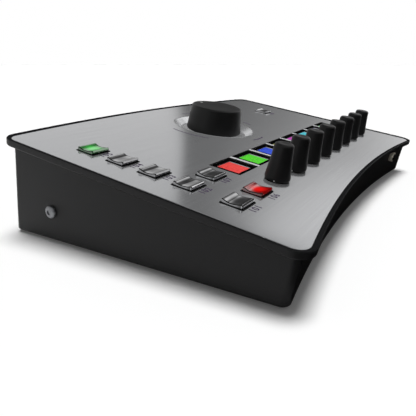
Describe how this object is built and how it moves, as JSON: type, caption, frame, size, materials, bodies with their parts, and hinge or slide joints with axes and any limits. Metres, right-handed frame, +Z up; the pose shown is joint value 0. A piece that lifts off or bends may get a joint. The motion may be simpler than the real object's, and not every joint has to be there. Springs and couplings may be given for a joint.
{
  "type": "control surface",
  "caption": "Wedge-shaped desktop control surface with a tilted metal panel, a large dial in a dish, a row of knobs under small colour displays, and square push keys.",
  "frame": {"origin": "middle of the footprint, on the surface that the feet stand on", "axes": "+X along the front edge to the user's right, +Y towards the back, +Z up"},
  "size_m": [0.3, 0.1946, 0.0696],
  "materials": {
    "case_plastic": "moulded, fine satin texture",
    "base_steel": "powder coated",
    "foot_rubber": "matte",
    "screw_steel": "black zinc",
    "side_screw_steel": "plain",
    "panel_aluminium": "brushed and clear anodised",
    "dish_aluminium": "turned and polished",
    "bezel_plastic": "moulded black",
    "switch_plastic": "moulded",
    "encoder_steel": "zinc plated",
    "nut_steel": "nickel plated",
    "shaft_steel": "ground",
    "dial_plastic": "soft-touch black",
    "knob_plastic": "soft-touch black",
    "circuit_board": "solder mask",
    "standoff_brass": "nickel plated",
    "ribbon_plastic": "grey vinyl",
    "socket_steel": "tinned",
    "inlet_plastic": "moulded black",
    "jack_plastic": "moulded, with a metal bush",
    "jack_nut_nickel": "nickel plated",
    "key_smoke": "smoked acrylic, unlit",
    "key_green": "lit acrylic",
    "key_red": "lit acrylic",
    "screen_1": "lit screen",
    "screen_2": "lit screen",
    "screen_3": "lit screen",
    "screen_4": "lit screen",
    "screen_5": "lit screen",
    "screen_6": "lit screen",
    "screen_7": "lit screen",
    "screen_8": "lit screen"
  },
  "bodies": {
    "case": {"case_tub": "case_plastic", "base_plate": "base_steel", "rubber_feet": "foot_rubber", "base_screws": "screw_steel", "side_screws": "side_screw_steel", "top_panel": "panel_aluminium", "dial_dish": "dish_aluminium", "display_bezels": "bezel_plastic", "key_frames": "bezel_plastic", "key_switches": "switch_plastic", "encoder_bodies": "encoder_steel", "encoder_nuts": "nut_steel", "dial_encoder": "encoder_steel", "dial_nut": "nut_steel", "control_board": "circuit_board", "panel_standoffs": "standoff_brass", "board_screws": "screw_steel", "socket_board": "circuit_board", "ribbon_cable": "ribbon_plastic", "usb_socket": "socket_steel", "power_inlet": "inlet_plastic", "headphone_jack": "jack_plastic", "headphone_nut": "jack_nut_nickel", "display_1": "screen_1", "display_2": "screen_2", "display_3": "screen_3", "display_4": "screen_4", "display_5": "screen_5", "display_6": "screen_6", "display_7": "screen_7", "display_8": "screen_8"},
    "dial": {"main_dial": "dial_plastic", "dial_shaft": "shaft_steel"},
    "knob_1": {"knob_1": "knob_plastic", "knob_shaft_1": "shaft_steel"},
    "knob_2": {"knob_2": "knob_plastic", "knob_shaft_2": "shaft_steel"},
    "knob_3": {"knob_3": "knob_plastic", "knob_shaft_3": "shaft_steel"},
    "knob_4": {"knob_4": "knob_plastic", "knob_shaft_4": "shaft_steel"},
    "knob_5": {"knob_5": "knob_plastic", "knob_shaft_5": "shaft_steel"},
    "knob_6": {"knob_6": "knob_plastic", "knob_shaft_6": "shaft_steel"},
    "knob_7": {"knob_7": "knob_plastic", "knob_shaft_7": "shaft_steel"},
    "knob_8": {"knob_8": "knob_plastic", "knob_shaft_8": "shaft_steel"},
    "key_1": {"key_cap_1": "key_smoke"},
    "key_2": {"key_cap_2": "key_smoke"},
    "key_3": {"key_cap_3": "key_smoke"},
    "key_4": {"key_cap_4": "key_smoke"},
    "key_5": {"key_cap_5": "key_green"},
    "key_6": {"key_cap_6": "key_red"},
    "key_7": {"key_cap_7": "key_smoke"},
    "key_8": {"key_cap_8": "key_smoke"}
  },
  "joints": [
    {"name": "dial_turn", "type": "hinge", "parent": "case", "child": "dial", "pos_m": [0, 0.03188, 0.05089], "axis": [0, -0.1633, 0.9866], "continuous": true},
    {"name": "knob_turn_1", "type": "hinge", "parent": "case", "child": "knob_1", "pos_m": [-0.0762, -0.05346, 0.03676], "axis": [0, -0.1633, 0.9866], "continuous": true},
    {"name": "knob_turn_2", "type": "hinge", "parent": "case", "child": "knob_2", "pos_m": [-0.0488, -0.05346, 0.03676], "axis": [0, -0.1633, 0.9866], "continuous": true},
    {"name": "knob_turn_3", "type": "hinge", "parent": "case", "child": "knob_3", "pos_m": [-0.0214, -0.05346, 0.03676], "axis": [0, -0.1633, 0.9866], "continuous": true},
    {"name": "knob_turn_4", "type": "hinge", "parent": "case", "child": "knob_4", "pos_m": [0.006, -0.05346, 0.03676], "axis": [0, -0.1633, 0.9866], "continuous": true},
    {"name": "knob_turn_5", "type": "hinge", "parent": "case", "child": "knob_5", "pos_m": [0.0334, -0.05346, 0.03676], "axis": [0, -0.1633, 0.9866], "continuous": true},
    {"name": "knob_turn_6", "type": "hinge", "parent": "case", "child": "knob_6", "pos_m": [0.0608, -0.05346, 0.03676], "axis": [0, -0.1633, 0.9866], "continuous": true},
    {"name": "knob_turn_7", "type": "hinge", "parent": "case", "child": "knob_7", "pos_m": [0.0882, -0.05346, 0.03676], "axis": [0, -0.1633, 0.9866], "continuous": true},
    {"name": "knob_turn_8", "type": "hinge", "parent": "case", "child": "knob_8", "pos_m": [0.1156, -0.05346, 0.03676], "axis": [0, -0.1633, 0.9866], "continuous": true},
    {"name": "key_press_1", "type": "slide", "parent": "case", "child": "key_1", "axis": [0, 0.1633, -0.9866], "range_m": [0, 0.0012], "stiffness_N_per_m": 500},
    {"name": "key_press_2", "type": "slide", "parent": "case", "child": "key_2", "axis": [0, 0.1633, -0.9866], "range_m": [0, 0.0012], "stiffness_N_per_m": 500},
    {"name": "key_press_3", "type": "slide", "parent": "case", "child": "key_3", "axis": [0, 0.1633, -0.9866], "range_m": [0, 0.0012], "stiffness_N_per_m": 500},
    {"name": "key_press_4", "type": "slide", "parent": "case", "child": "key_4", "axis": [0, 0.1633, -0.9866], "range_m": [0, 0.0012], "stiffness_N_per_m": 500},
    {"name": "key_press_5", "type": "slide", "parent": "case", "child": "key_5", "axis": [0, 0.1633, -0.9866], "range_m": [0, 0.0012], "stiffness_N_per_m": 500},
    {"name": "key_press_6", "type": "slide", "parent": "case", "child": "key_6", "axis": [0, 0.1633, -0.9866], "range_m": [0, 0.0012], "stiffness_N_per_m": 500},
    {"name": "key_press_7", "type": "slide", "parent": "case", "child": "key_7", "axis": [0, 0.1633, -0.9866], "range_m": [0, 0.0012], "stiffness_N_per_m": 500},
    {"name": "key_press_8", "type": "slide", "parent": "case", "child": "key_8", "axis": [0, 0.1633, -0.9866], "range_m": [0, 0.0012], "stiffness_N_per_m": 500}
  ]
}
